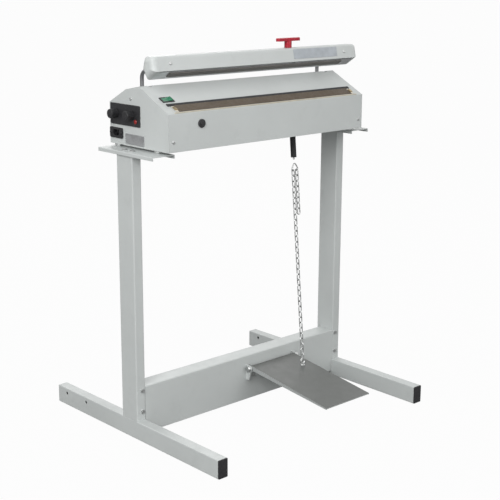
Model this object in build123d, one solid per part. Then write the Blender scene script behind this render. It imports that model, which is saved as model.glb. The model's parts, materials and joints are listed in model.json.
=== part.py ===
from build123d import *
import math
import os

# Foot-operated impulse sealer on a floor stand. Millimetres and degrees.
# Origin: on the floor, under the middle of the feet. +X runs along the jaw to
# the operator's right, +Y away from the operator, +Z up. Rest pose: jaw open.

# ---- stand ----
foot_length = 700.0
foot_width = 30.0
foot_height = 50.0
tube_wall = 2.0
foot_cap_rim = 3.0
foot_cap_plug = 14.0
anchor_hole_r = 4.5
anchor_spacing = 94.0
anchor_rear_margin = 42.0
anchor_height = 36.0
post_width = 28.5
post_depth = 65.0
post_y = 10.0              # middle of the posts, behind the middle of the feet
post_gap = 8.5             # from the housing's end to the post's inner face
beam_bottom = 13.0
beam_height = 131.0
beam_depth = 52.0
beam_sheet = 2.0
beam_lip = 10.0
beam_web = 16.0            # how far the beam's end tongue reaches into a post
tongue_sheet = 4.0
frame_bolt_r = 4.0
beam_bolt_r = 3.0
channel_sheet = 2.5
channel_flange = 10.0
channel_outer = 5.0        # channel's outer face beyond the post's outer face
channel_inner = 28.0       # how far the channel reaches under the housing
channel_front = 122.0      # from the post's middle to the channel's front end
channel_rear = 103.0

# ---- housing ----
housing_width = 700.0
housing_bottom = 775.0
front_reach = 134.0        # post's middle to the front panel
rear_reach = 107.0
front_rise = 94.0
rear_rise = 106.0
ridge_back = 117.0         # front panel to the ridge
slope = 27.0               # front slope
top_run = 54.0             # ridge to the top's rear edge
top_fall = 11.0
sheet = 1.5
end_sheet = 2.0
end_flange = 18.0
seam = 0.4
ridge_lap = 14.0
spacer_height = 7.0
spacer_r = 11.0
spacer_inset = 14.0        # spacer's middle inside the housing's end
spacer_front = 75.0        # from the post's middle
spacer_rear = 88.0

# ---- sealing line, in the plane of the front slope ----
seal_up = 20.0             # front edge to the sealing line, up the slope
seal_length = 600.0
bar_length = 640.0
bar_width = 26.0
bar_depth = 14.0
bar_proud = 1.5
insulation_t = 0.5
element_t = 0.4
element_width = 5.0
tape_t = 0.4
tape_width = 28.0
clamp_length = 8.0
clamp_height = 2.6
press_gap = 0.3            # closed jaw's strip above the tape
edge_strip_width = 3.6
edge_strip_t = 2.4
rest_strip_width = 9.0
rest_strip_t = 2.6
support_t = 3.0
supports = 4

# ---- jaw and its swing ----
jaw_swing = 60.0
pivot_back = 78.5          # sealing line to the pivot, up the slope
pivot_down = 30.1          # pivot below the closed strip's face
jaw_length = 696.0
jaw_end = 18.0
jaw_half_depth = 20.0
jaw_skirt = 2.5            # cover's lower edge above the strip's face
jaw_front_out = 33.0
jaw_front_height = 37.0
jaw_top_out = 5.0
jaw_top_height = 55.0
jaw_rear_height = 34.0
jaw_round = 7.0
jaw_end_round = 14.0
press_width = 18.0
press_t = 3.0
press_over = 8.0           # strip past each end of the seal
jaw_base_t = 5.0
arm_r = 5.0
arm_x = 316.0
arm_offset = 47.3          # upright arm behind the pivot
arm_bend = 18.0
arm_entry = 21.5           # arm's height on the jaw's rear wall
arm_inside = 14.0
arm_foot = 17.0            # arm's lower end below the pivot
slot_width = 17.0
slot_clear = 5.0
shaft_r = 7.0
run_fit = 0.05
fit = 0.05
touch = 0.3
hub_width = 14.0
hub_drop = 4.0             # clamp's upper face below the pivot
hub_r = 14.0
bush_r = 10.0
spring_loop = 6.0
spring_wire = 1.1
spring_turns = 10
bracket_x = 285.0
bracket_t = 4.0
bracket_r = 17.0
collar_width = 8.0
collar_r = 12.0

# ---- cutter ----
rail_r = 3.0
knob_x = 112.0
cutter_travel = 270.0      # carriage's reach either side of the middle
cutter_slot = 6.4
stem_r = 3.0
knob_length = 84.0
knob_depth = 14.0
knob_height = 9.0
boss_r = 10.0
boss_height = 18.0
blade_t = 0.8
carriage_length = 34.0

# ---- pull line and pedal ----
pull_x = 149.0
chain_x = 144.0
tail_x = 158.0
rod_r = 2.5
rod_bend = 4.0
rod_reach = 18.0           # length of the rod's bent upper end
crank_t = 8.0
crank_hole_r = 6.0         # loose on the rod, so that the crank's arc is free
crank_slack = 0.9
crank_tip_r = 10.0
crank_boss_r = 13.0
eye_wire_r = 2.5
low_eye_r = 6.0
anchor_wire_r = 2.0
anchor_eye_r = 5.5
anchor_stem_r = 3.0
anchor_slack = 0.8
sleeve_r = 8.0
sleeve_top = 850.0
sleeve_bottom = 703.0
delta_wire_r = 1.75
delta_height = 24.0
delta_bend = 5.0
delta_margin = 8.0
link_wire = 3.0
link_inner_width = 6.4
links = 35
tail_links = 8
link_gap = 0.3
pedal_x = 93.5
pedal_width = 171.0
pedal_length = 300.0
pedal_t = 3.0
pedal_rise = 8.0           # top of the plate above its hinge
pedal_tilt = 7.8
pedal_swing = 11.8
pedal_lip = 10.0
pedal_lip_front = 1.0
pedal_ear_r = 12.0
hinge_front = 12.6         # hinge in front of the beam's face
hinge_z = 108.0
hinge_r = 5.0
ear_t = 5.0
ear_gap = 2.0
ear_r = 9.0
ear_drop = 34.0            # hinge to the bracket's lower edge
bracket_foot = 30.0
bracket_foot_height = 18.0
bracket_sheet = 3.0
anchor_reach = 73.4        # hinge to the chain's anchor, level
anchor_above = 10.0        # anchor eye's middle above the hinge

# ---- controls and electrics ----
panel_t = 2.5
panel_front = 22.0
panel_rear = 102.0
panel_low = 51.0
panel_high = 105.0
knob_r = 12.0
timer_knob_length = 20.0
spindle_r = 3.0
knob_z = 79.0              # above the housing's bottom
knob_places = (77.0, 12.0)
inlet_size = (54.0, 27.0)
inlet_place = (78.0, 29.0)
plate_size = (78.0, 27.0)
plate_place = (2.0, 17.5)
plate_t = 0.8
switch_size = (37.0, 22.0)
switch_rim = 1.5           # bezel's lap over the cover
switch_wall = 1.2
switch_inset = 40.0
switch_up = 63.0
rocker_tip = 8.0
rocker_pin_r = 1.5
rocker_pin_depth = 2.5     # pin below the slope's surface
button_r = 11.0
button_inset = 105.0
button_z = 65.0
button_travel = 3.0
screw_r = 2.0

# ---- derived: stand ----
half = housing_width / 2
post_in = half + post_gap
post_out = post_in + post_width
foot_in = post_out - foot_width
post_mid = (post_in + post_out) / 2
foot_mid = (foot_in + post_out) / 2
channel_top = housing_bottom - spacer_height
post_top = channel_top - channel_sheet
post_front = post_y - post_depth / 2
beam_front = post_front
beam_top = beam_bottom + beam_height

# ---- derived: housing profile in (y, z) ----
front_y = post_y - front_reach
rear_y = post_y + rear_reach
shoulder_z = housing_bottom + front_rise
ridge_y = front_y + ridge_back
ridge_z = shoulder_z + ridge_back * math.tan(math.radians(slope))
floor_z = housing_bottom + sheet
profile = [
    (front_y, housing_bottom),
    (front_y, shoulder_z),
    (ridge_y, ridge_z),
    (ridge_y + top_run, ridge_z - top_fall),
    (rear_y, housing_bottom + rear_rise),
    (rear_y, housing_bottom),
]

# ---- derived: sealing plane, pivot and swing ----
up_y = math.cos(math.radians(slope))
up_z = math.sin(math.radians(slope))
tape_top = bar_proud + insulation_t + element_t + tape_t
face_level = tape_top + press_gap


def slope_point(up, out):
    """(y, z) of a point up the front slope and out from its surface."""
    return (front_y + up * up_y - out * up_z, shoulder_z + up * up_z + out * up_y)


pivot_y, pivot_z = slope_point(seal_up + pivot_back, face_level - pivot_down)


def swung(y, z, angle):
    """(y, z) turned about the jaw's pivot; a positive angle closes the jaw."""
    turn = math.radians(angle)
    dy = y - pivot_y
    dz = z - pivot_z
    return (pivot_y + dy * math.cos(turn) - dz * math.sin(turn),
            pivot_z + dy * math.sin(turn) + dz * math.cos(turn))


def jaw_point(along, out):
    """(y, z), jaw open, of a point in the jaw's own frame: along the strip's
    face towards the rear, and out from that face into the jaw."""
    return swung(*slope_point(seal_up + along, face_level + out), -jaw_swing)


jaw_lean = 90 + slope - jaw_swing
jaw_normal = (0, math.cos(math.radians(jaw_lean)), math.sin(math.radians(jaw_lean)))
jaw_plane = Plane(origin=(0, *jaw_point(0, 0)), x_dir=(1, 0, 0), z_dir=jaw_normal)
slope_plane = Plane(origin=(0, front_y, shoulder_z), x_dir=(1, 0, 0), z_dir=(0, -up_z, up_y))
arm_y = pivot_y + arm_offset
arm_level = jaw_point(jaw_half_depth, arm_entry)[1]
arm_entry_y = jaw_point(jaw_half_depth, arm_entry)[0]


def slot_front():
    """Front end of an arm slot: where the closed arm leaves the slope."""
    foot = swung(arm_y, pivot_z, jaw_swing)
    turn = math.radians(jaw_swing)
    run = (-math.sin(turn), math.cos(turn))
    level = shoulder_z - front_y * math.tan(math.radians(slope))
    reach = (level + foot[0] * up_z / up_y - foot[1]) / (run[1] - run[0] * up_z / up_y)
    half_width = arm_r / math.sin(math.radians(90 + slope - jaw_swing)) * up_y
    return foot[0] + reach * run[0] - half_width - slot_clear


slot_y = (slot_front(), arm_y + arm_r + slot_clear)

# ---- derived: pedal and pull line ----
hinge_y = beam_front - hinge_front
anchor_y = hinge_y - anchor_reach
anchor_z = hinge_z + anchor_above


def pedal_drop(y, z):
    """How far a point of the pedal goes down when the pedal is pressed."""
    turn = math.radians(pedal_swing)
    dy = y - hinge_y
    dz = z - hinge_z
    return dz - (dy * math.sin(turn) + dz * math.cos(turn))


pull_travel = pedal_drop(anchor_y, anchor_z)
crank_r = pull_travel / (2 * math.sin(math.radians(jaw_swing / 2)))
crank_y = pivot_y - crank_r * math.cos(math.radians(jaw_swing / 2))
crank_z = pivot_z + crank_r * math.sin(math.radians(jaw_swing / 2))
pull_lean = (crank_y - anchor_y) / (crank_z - anchor_z)


def line_y(z):
    """The pull line leans forward on its way down to the pedal."""
    return crank_y - pull_lean * (crank_z - z)


# ---- helpers ----
def slab(x, y, z):
    """Box from three (low, high) pairs."""
    size = [high - low for low, high in (x, y, z)]
    middle = [(high + low) / 2 for low, high in (x, y, z)]
    return Pos(*middle) * Box(*size)


def face_yz(points):
    return Plane.YZ * make_face(Polyline(*points, close=True))


def prism_x(face, x_low, x_high):
    """Solid of a YZ face between two X positions."""
    return Pos(x_low, 0, 0) * extrude(face, amount=x_high - x_low, dir=(1, 0, 0))


def rod_x(radius, x_low, x_high, y, z):
    return Pos((x_low + x_high) / 2, y, z) * Rot(0, 90, 0) * Cylinder(radius, x_high - x_low)


def at(shape, origin, z_dir, x_dir=None):
    """Shape moved so that its +Z points along z_dir from origin."""
    return Plane(origin=origin, x_dir=x_dir, z_dir=z_dir).location * shape


def peg(radius, low, high):
    return Pos(0, 0, (low + high) / 2) * Cylinder(radius, high - low)


def both_sides(shape):
    """The shape and its mirror image across the machine's middle plane."""
    return [shape, mirror(shape, Plane.YZ)]


def hex_bolt(radius, length):
    """Head on +Z with its seat at 0, shank down to -length."""
    head = extrude(RegularPolygon(radius * 1.85, 6), amount=radius * 1.3)
    return head + peg(radius, -length, 0)


def hex_nut(radius, height):
    return extrude(RegularPolygon(radius * 1.85, 6), amount=height) - peg(radius + fit, -1, height + 1)


def pan_screw(radius, length):
    """Cross-recessed pan head on +Z, seat at 0."""
    head_height = radius * 1.2
    head = peg(radius * 2, 0, head_height)
    head = fillet(head.edges().sort_by(Axis.Z)[-1], head_height * 0.6)
    depth = head_height * 0.45
    for turn in (0, 90):
        groove = Box(radius * 2.2, radius * 0.5, depth * 2)
        head -= Pos(0, 0, head_height) * Rot(0, 0, turn) * groove
    return head + peg(radius, -length, 0)


def ring(inner_r, wire_r, centre, normal):
    return at(Torus(inner_r + wire_r, wire_r), centre, normal)


def link(inner_length, inner_width, wire):
    """Oval chain link in the local XZ plane, long way up Z."""
    bow = (inner_width + wire) / 2
    side = (inner_length + wire) / 2 - bow
    path = Wire([
        Line((bow, -side), (bow, side)),
        CenterArc((0, side), bow, 0, 180),
        Line((-bow, side), (-bow, -side)),
        CenterArc((0, -side), bow, 180, 180),
    ])
    section = Pos(bow, 0, -side) * Circle(wire / 2)
    return sweep(section, path=Plane.XZ.location * path)


# ---- stand ----
def foot_tube():
    outer = slab((foot_in, post_out), (-foot_length / 2 + foot_cap_rim, foot_length / 2), (0, foot_height))
    outer = fillet(outer.edges().filter_by(Axis.Y), tube_wall * 1.2)
    bore = slab((foot_in + tube_wall, post_out - tube_wall), (-foot_length, foot_length),
                (tube_wall, foot_height - tube_wall))
    tube = outer - bore
    for place in anchor_places():
        tube -= rod_x(anchor_hole_r, foot_in - 1, post_out + 1, place, anchor_height)
    for y in foot_bolt_places():
        tube -= Pos(post_mid, y, foot_height) * Cylinder(frame_bolt_r + fit, tube_wall * 3)
        tube -= Pos(post_mid, y, 0) * Cylinder(frame_bolt_r * 2.2, tube_wall * 3)
    return tube


def anchor_places():
    rear = foot_length / 2 - anchor_rear_margin
    return (rear, rear - anchor_spacing)


def foot_bolt_places():
    return (post_y - post_depth / 4, post_y + post_depth / 4)


def foot_cap():
    """Black cap on the front end: a rim over the tube and a plug inside it."""
    front = -foot_length / 2
    rim = slab((foot_in, post_out), (front, front + foot_cap_rim), (0, foot_height))
    rim = fillet(rim.edges().filter_by(Axis.Y), tube_wall * 1.2)
    rim = chamfer(rim.faces().sort_by(Axis.Y)[0].edges(), foot_cap_rim * 0.3)
    inset = tube_wall + fit
    plug = slab((foot_in + inset, post_out - inset), (front + foot_cap_rim, front + foot_cap_plug),
                (inset, foot_height - inset))
    return rim + plug


def foot_rear_plug():
    inset = tube_wall + fit
    rear = foot_length / 2
    return slab((foot_in + inset, post_out - inset), (rear - foot_cap_plug, rear - 0.5),
                (inset, foot_height - inset))


def tongue_span():
    return (beam_bottom + beam_sheet + foot_height, beam_top - beam_lip)


def tongue_y():
    """Front and rear faces of the beam's tongue, just inside the post's front wall."""
    return (beam_front + tube_wall + fit, beam_front + tube_wall + fit + tongue_sheet)


def beam_bolt_places():
    low, high = tongue_span()
    return (low + beam_lip, high)


def post():
    outer = slab((post_in, post_out), (post_front, post_front + post_depth), (foot_height, post_top))
    outer = fillet(outer.edges().filter_by(Axis.Z), tube_wall * 1.5)
    bore = slab((post_in + tube_wall, post_out - tube_wall),
                (post_front + tube_wall, post_front + post_depth - tube_wall),
                (foot_height + tongue_sheet, post_top + 1))
    tube = outer - bore
    tube += slab((post_in + 1, post_out - 1), (post_front + 1, post_front + post_depth - 1),
                 (post_top - 2 * tongue_sheet, post_top))
    for y in foot_bolt_places():
        for z in (foot_height, post_top):
            tube -= Pos(post_mid, y, z) * Cylinder(frame_bolt_r + fit, tongue_sheet * 5)
    low, high = tongue_span()
    y_low, y_high = tongue_y()
    tube -= slab((post_in - 1, post_in + tube_wall + 1), (y_low - fit, y_high + touch),
                 (low - touch, high + beam_lip + touch))
    for z in beam_bolt_places():
        hole = Pos(bolt_x(), post_front, z) * Rot(90, 0, 0) * Cylinder(beam_bolt_r + fit, tube_wall * 3)
        tube -= hole
    return tube


def bolt_x():
    return post_in + tube_wall + beam_web / 2


def crossbeam():
    """Folded channel, open below, with returned lips and a tongue at each end."""
    rear = beam_front + beam_depth
    outer = slab((-post_in, post_in), (beam_front, rear), (beam_bottom, beam_top))
    outer = fillet(outer.edges().filter_by(Axis.X).sort_by(Axis.Z)[-2:], beam_sheet * 1.5)
    inner = slab((-post_in - 1, post_in + 1), (beam_front + beam_sheet, rear - beam_sheet),
                 (beam_bottom + beam_sheet, beam_top - beam_sheet))
    mouth = slab((-post_in - 1, post_in + 1), (beam_front + beam_lip, rear - beam_lip),
                 (beam_bottom - 1, beam_bottom + beam_sheet + 1))
    body = outer - inner - mouth
    low, high = tongue_span()
    y_low, y_high = tongue_y()
    reach = post_in + tube_wall + beam_web
    for side in (1, -1):
        ends = sorted((side * (post_in - 2 * beam_web), side * reach))
        tongue = slab(ends, (y_low, y_high), (low, high + beam_lip - touch))
        for z in beam_bolt_places():
            hole = Cylinder(beam_bolt_r + fit, tongue_sheet * 6)
            tongue -= Pos(side * bolt_x(), y_low, z) * Rot(90, 0, 0) * hole
        joint = slab(sorted((side * (post_in - 2 * beam_web), side * post_in)),
                     (beam_front + beam_sheet / 2, y_low + 1), (low, high))
        body += tongue + joint
        foot_x = sorted((side * (foot_in - touch), side * (post_in + 1)))
        body -= slab(foot_x, (beam_front - 1, rear + 1), (beam_bottom - 1, foot_height + touch))
    for x, z in bracket_screw_places():
        body -= Pos(x, beam_front, z) * Rot(90, 0, 0) * Cylinder(screw_r * 1.5 + fit, beam_sheet * 4)
    return body


def beam_bolts():
    bolts = []
    for z in beam_bolt_places():
        bolt = at(hex_bolt(beam_bolt_r, tube_wall + 3 * tongue_sheet), (bolt_x(), post_front, z), (0, -1, 0))
        nut = at(hex_nut(beam_bolt_r, beam_bolt_r * 1.4), (bolt_x(), tongue_y()[1], z), (0, 1, 0))
        bolts += both_sides(bolt) + both_sides(nut)
    return bolts


def foot_bolts():
    """Bolts from inside each foot up into the post's closed lower end."""
    bolts = []
    for y in foot_bolt_places():
        bolt = hex_bolt(frame_bolt_r, tube_wall + tongue_sheet + 8)
        bolts += both_sides(at(bolt, (post_mid, y, foot_height - tube_wall), (0, 0, -1)))
    return bolts


def top_channel():
    """Inverted channel across each post's top that carries one end of the housing."""
    x = (half - channel_inner, post_out + channel_outer)
    y = (post_y - channel_front, post_y + channel_rear)
    z = (channel_top - channel_flange, channel_top)
    body = slab(x, y, z)
    body = fillet(body.edges().filter_by(Axis.Y).sort_by(Axis.Z)[-2:], channel_sheet)
    body -= slab((x[0] + channel_sheet, x[1] - channel_sheet), (y[0] - 1, y[1] + 1),
                 (z[0] - 1, channel_top - channel_sheet))
    for y in spacer_places():
        body -= Pos(half - spacer_inset, y, channel_top) * Cylinder(screw_r * 1.5 + fit, channel_sheet * 4)
    for y in foot_bolt_places():
        body -= Pos(post_mid, y, channel_top) * Cylinder(frame_bolt_r + fit, channel_sheet * 4)
    return body


def channel_bolts():
    bolts = []
    for y in foot_bolt_places():
        bolt = hex_bolt(frame_bolt_r, channel_sheet + tongue_sheet * 2)
        bolts += both_sides(at(bolt, (post_mid, y, channel_top), (0, 0, 1)))
    return bolts


def spacer_places():
    return (post_y - spacer_front, post_y + spacer_rear)


def spacers():
    rings = []
    for y in spacer_places():
        ring_body = peg(spacer_r, 0, spacer_height)
        ring_body = chamfer(ring_body.edges().filter_by(GeomType.CIRCLE), spacer_height * 0.15)
        ring_body -= peg(screw_r * 1.5 + fit, -1, spacer_height + 1)
        rings += both_sides(Pos(half - spacer_inset, y, channel_top) * ring_body)
    return rings


def spacer_bolts():
    bolts = []
    nut_height = screw_r * 2
    length = channel_sheet + spacer_height + 2 * sheet + nut_height + 1
    for y in spacer_places():
        bolt = hex_bolt(screw_r * 1.5, length)
        seat = (half - spacer_inset, y, channel_top - channel_sheet)
        bolts += both_sides(at(bolt, seat, (0, 0, -1)))
        nut = hex_nut(screw_r * 1.5, nut_height)
        bolts += both_sides(Pos(half - spacer_inset, y, floor_z + sheet) * nut)
    return bolts


# ---- housing ----
def inset_profile(amount):
    return offset(face_yz(profile), amount=-amount, kind=Kind.INTERSECTION)


def sheet_ring(outset, thickness, x_low, x_high):
    """Folded sheet that follows the profile, its outside face inset by outset."""
    outer = face_yz(profile) if outset == 0 else inset_profile(outset)
    return prism_x(outer, x_low, x_high) - prism_x(inset_profile(outset + thickness), x_low, x_high)


def base_plate():
    x = half - end_sheet
    plate = slab((-x, x), (front_y + sheet, rear_y - sheet), (housing_bottom, floor_z))
    for side in (1, -1):
        for y in spacer_places():
            hole = Cylinder(screw_r * 1.5 + fit, sheet * 6)
            plate -= Pos(side * (half - spacer_inset), y, housing_bottom) * hole
    exit_y = line_y(housing_bottom)
    return plate - Pos(pull_x, exit_y, housing_bottom) * Cylinder(sleeve_r + slot_clear, sheet * 6)


def arm_slots():
    cuts = []
    for side in (1, -1):
        cut = slab((side * arm_x - slot_width / 2, side * arm_x + slot_width / 2), slot_y,
                   (pivot_z + bracket_r, ridge_z + 10))
        cuts.append(fillet(cut.edges().filter_by(Axis.Z), slot_width * 0.45))
    return cuts


def on_slope(shape, x, up, out):
    return slope_plane.location * Pos(x, up, out) * shape


def front_cover():
    """Front panel and front slope, folded from one sheet, up to the ridge."""
    x = half - end_sheet
    body = sheet_ring(0, sheet, -x, x)
    body -= slab((-x - 1, x + 1), (ridge_y, rear_y + 1), (housing_bottom - 1, ridge_z + 1))
    body -= slab((-x - 1, x + 1), (front_y + sheet, ridge_y + 1), (housing_bottom - 1, floor_z))
    for cut in arm_slots():
        body -= cut
    body -= on_slope(Box(bar_length + 2 * touch, bar_width + 2 * touch, sheet * 6), 0, seal_up, 0)
    hole = Box(switch_size[0] - 2 * switch_rim, switch_size[1] - 2 * switch_rim, sheet * 8)
    body -= on_slope(hole, -half + switch_inset, switch_up, 0)
    body -= at(peg(button_r - 3, -5, 5), (-half + button_inset, front_y, housing_bottom + button_z), (0, -1, 0))
    for x_screw, z in front_screws():
        body -= at(peg(screw_r + fit, -5, 5), (x_screw, front_y, z), (0, -1, 0))
    return body


def rear_cover():
    """Top, rear slope and rear panel, lapped under the front cover at the ridge."""
    x = half - end_sheet
    body = sheet_ring(0, sheet, -x, x)
    body -= slab((-x - 1, x + 1), (front_y - 1, ridge_y + seam), (housing_bottom - 1, ridge_z + 1))
    body -= slab((-x - 1, x + 1), (ridge_y - 1, rear_y - sheet), (housing_bottom - 1, floor_z))
    lap_x = half - end_sheet - end_flange - 1
    lap = sheet_ring(sheet, sheet, -lap_x, lap_x)
    lap &= slab((-half, half), (ridge_y - ridge_lap, ridge_y + ridge_lap), (pivot_z, ridge_z + 1))
    body += lap
    for cut in arm_slots():
        body -= cut
    for x_screw, z in front_screws():
        body -= at(peg(screw_r + fit, -5, 5), (x_screw, rear_y, z), (0, 1, 0))
    for row in range(4):
        vent = Box(60, 10, 3)
        body -= Pos(half / 2, rear_y, housing_bottom + 40 + 12 * row) * vent
    return body


def front_screws():
    """X and Z of the cover screws, front and rear alike."""
    x = half - end_sheet - end_flange + 5
    z = housing_bottom + 25
    return ((x, z), (-x, z))


def side_screw():
    return (post_y + 16, housing_bottom + 120)


def end_panel(side):
    """End plate with an inward flange that the covers and base close against."""
    plate = prism_x(face_yz(profile), half - end_sheet, half)
    flange_x = half - end_sheet - end_flange
    flange = sheet_ring(sheet, sheet, flange_x, half - end_sheet)
    body = plate + flange
    for x_screw, z in front_screws()[:1]:
        body -= at(peg(screw_r + fit, -8, 8), (x_screw, front_y, z), (0, -1, 0))
        body -= at(peg(screw_r + fit, -8, 8), (x_screw, rear_y, z), (0, 1, 0))
    for y in spacer_places():
        body -= Pos(half - spacer_inset, y, floor_z) * Cylinder(screw_r * 1.5 + fit, sheet * 4)
    body -= rod_x(screw_r + fit, half - end_sheet - 1, half + 1, *side_screw())
    if side < 0:
        for y, z, radius in panel_holes():
            body -= rod_x(radius, half - end_sheet - 1, half + 1, y, z)
        inlet_y = post_y + inlet_place[0]
        inlet_z = housing_bottom + inlet_place[1]
        hole = Box(end_sheet * 4, inlet_size[0] * 0.6, inlet_size[1] * 0.85)
        body -= Pos(half, inlet_y, inlet_z) * hole
        body = mirror(body, Plane.YZ)
    return body


def panel_holes():
    """Places and radii of the holes behind the control panel."""
    z = housing_bottom + knob_z
    holes = [(post_y + y, z, spindle_r + 1) for y in knob_places]
    return holes + [(lamp_place()[0], lamp_place()[1], 4.0 + fit)]


def lamp_place():
    return (post_y - 5, housing_bottom + 64)


def cover_screws():
    screws = []
    for x, z in front_screws():
        screws.append(at(pan_screw(screw_r, 7), (x, front_y, z), (0, -1, 0), (1, 0, 0)))
        screws.append(at(pan_screw(screw_r, 7), (x, rear_y, z), (0, 1, 0), (1, 0, 0)))
    return screws


def end_screws():
    """One screw high on each end, into the bearing bracket's cross rail."""
    y, z = side_screw()
    screw = at(pan_screw(screw_r, end_sheet), (half, y, z), (1, 0, 0), (0, 1, 0))
    return both_sides(screw)


# ---- sealing line ----
def seal_bar():
    low = bar_proud - bar_depth
    return on_slope(slab((-bar_length / 2, bar_length / 2), (-bar_width / 2, bar_width / 2), (low, bar_proud)),
                    0, seal_up, 0)


def support_places():
    step = seal_length / supports
    return [-seal_length / 2 + step * (i + 0.5) for i in range(supports)]


def bar_supports():
    """Upright plates from the base to the underside of the bar."""
    low = bar_proud - bar_depth
    back = seal_up + bar_width / 2 - 3
    front = seal_up - bar_width / 2 + 5
    y_back, z_back = slope_point(back, low)
    y_front, z_front = slope_point(front, low)
    outline = face_yz([(y_front, floor_z), (y_front, z_front), (y_back, z_back), (y_back, floor_z)])
    return [prism_x(outline, x - support_t / 2, x + support_t / 2) for x in support_places()]


def strip(width, low, thickness, length, up=seal_up):
    body = slab((-length / 2, length / 2), (-width / 2, width / 2), (low, low + thickness))
    return on_slope(body, 0, up, 0)


def insulation_strip():
    return strip(bar_width - 2, bar_proud, insulation_t, bar_length)


def heating_element():
    return strip(element_width, bar_proud + insulation_t, element_t, bar_length - 2)


def tape_cover():
    """Tape over the element, doubled under at both long edges."""
    length = bar_length - 2 * clamp_length - 2
    body = strip(tape_width, bar_proud + insulation_t + element_t, tape_t, length)
    hem = strip(bar_width - 2, bar_proud + insulation_t, element_t, length)
    clear = strip(element_width + 8, bar_proud + insulation_t, element_t, length + 2)
    return body + (hem - clear)


def element_clamps():
    """Brass blocks that hold the element down at the bar's ends."""
    low = bar_proud + insulation_t + element_t
    block = slab((-clamp_length / 2, clamp_length / 2), (-6, 6), (low, low + clamp_height))
    block = chamfer(block.faces().sort_by(Axis.Z)[-1].edges(), 0.5)
    x = bar_length / 2 - clamp_length / 2
    return [on_slope(block, side * x, seal_up, 0) for side in (1, -1)]


def edge_strip():
    """Pale strip along the front edge that holds the tape down."""
    up = seal_up - tape_width / 2 - touch - edge_strip_width / 2
    body = strip(edge_strip_width, 0, edge_strip_t, bar_length + 14, up)
    return chamfer(body.edges().filter_by(Axis.X).sort_by(Axis.Z)[-1], edge_strip_t * 0.3)


def rest_strip():
    """Dark rubber strip above the tape, where the film lies."""
    up = seal_up + tape_width / 2 + touch + rest_strip_width / 2
    body = strip(rest_strip_width, 0, rest_strip_t, bar_length + 14, up)
    return fillet(body.edges().filter_by(Axis.X).sort_by(Axis.Z)[-1], rest_strip_t * 0.3)


# ---- jaw, in its own frame: X along, Y towards the rear, Z into the jaw ----
def jaw_outline():
    return [
        (-jaw_half_depth, jaw_skirt),
        (-jaw_front_out, jaw_front_height),
        (-jaw_top_out, jaw_top_height),
        (jaw_half_depth, jaw_rear_height),
        (jaw_half_depth, jaw_skirt),
    ]


def jaw_face():
    """Outline of the jaw with its upper corners rounded."""
    flat = make_face(Polyline(*jaw_outline(), close=True))
    upper = [v for v in flat.vertices() if v.Y > jaw_skirt + 1]
    return Plane.YZ * fillet(upper, jaw_round)


def in_jaw(shape):
    return jaw_plane.location * shape


def arm_hole():
    """Cutter for an arm's way in through the jaw's rear wall."""
    reach = 60
    hole = rod_between((arm_x, arm_entry_y - arm_inside - touch, arm_level), (arm_x, arm_entry_y + reach, arm_level),
                       arm_r + fit)
    return hole


def rod_between(start, end, radius):
    direction = Vector(*end) - Vector(*start)
    return at(peg(radius, 0, direction.length), start, tuple(direction))


def top_middle():
    """Middle of the jaw's top facet, and the facet's outward normal, in (y, z)."""
    points = jaw_outline()
    along = (points[2][0] - points[1][0], points[2][1] - points[1][1])
    size = math.hypot(*along)
    middle = ((points[1][0] + points[2][0]) / 2, (points[1][1] + points[2][1]) / 2)
    return middle, (-along[1] / size, along[0] / size)


def on_top(shape, x, out):
    """Shape with +Z out of the jaw's top facet."""
    middle, normal = top_middle()
    origin = (x, middle[0] + normal[0] * out, middle[1] + normal[1] * out)
    return at(shape, origin, (0, *normal), (1, 0, 0))


def jaw_cover():
    outer = prism_x(jaw_face(), -jaw_length / 2, jaw_length / 2)
    inner = prism_x(offset(jaw_face(), amount=-sheet, kind=Kind.INTERSECTION), -jaw_length, jaw_length)
    mouth = slab((-jaw_length, jaw_length), (-jaw_half_depth + sheet, jaw_half_depth - sheet),
                 (0, jaw_skirt + 3 * sheet))
    body = outer - inner - mouth
    slot = Box(2 * cutter_travel + 2 * stem_r + 4, cutter_slot, 12)
    body -= on_top(slot, 0, 0)
    for x, _ in jaw_screw_places():
        body -= front_face(peg(screw_r + fit, -4, 4), x)
    body = in_jaw(body)
    for hole in both_sides(arm_hole()):
        body -= hole
    return body


def front_face(shape, x, up=0.5, out=0.0):
    """Shape with +Z out of the jaw's front face, part of the way up it."""
    low, high = jaw_outline()[:2]
    along = (high[0] - low[0], high[1] - low[1])
    size = math.hypot(*along)
    normal = (-along[1] / size, along[0] / size)
    origin = (x, low[0] + along[0] * up + normal[0] * out, low[1] + along[1] * up + normal[1] * out)
    return at(shape, origin, (0, *normal), (1, 0, 0))


def jaw_screw_places():
    x = jaw_length / 2 - 37
    return ((x, 0), (-x, 0))


def jaw_screws():
    return [in_jaw(front_face(pan_screw(screw_r, 5), x)) for x, _ in jaw_screw_places()]


def jaw_end_cap(side):
    """Moulded end: a rounded outer part and a plug inside the cover."""
    x = jaw_length / 2
    cap = prism_x(jaw_face(), x, x + jaw_end)
    cap = fillet(cap.faces().sort_by(Axis.X)[-1].edges(), jaw_end_round)
    inner = offset(jaw_face(), amount=-(sheet + fit), kind=Kind.INTERSECTION)
    plug = prism_x(inner, x - 10, x)
    plug -= slab((x - 11, x + 1), (-jaw_half_depth, jaw_half_depth), (0, press_t + jaw_base_t + touch))
    body = cap + plug
    rail_y, rail_z = rail_place()
    body -= rod_x(rail_r + fit, x - 11, x + 4, rail_y, rail_z)
    body = in_jaw(body)
    return body if side > 0 else mirror(body, Plane.YZ)


def jaw_base():
    """Aluminium bar that carries the strip and stiffens the cover."""
    x = jaw_length / 2 - touch
    body = slab((-x, x), (blade_y() + blade_t + 1.5, jaw_half_depth - sheet - fit), (press_t, press_t + jaw_base_t))
    return in_jaw(body)


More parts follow.
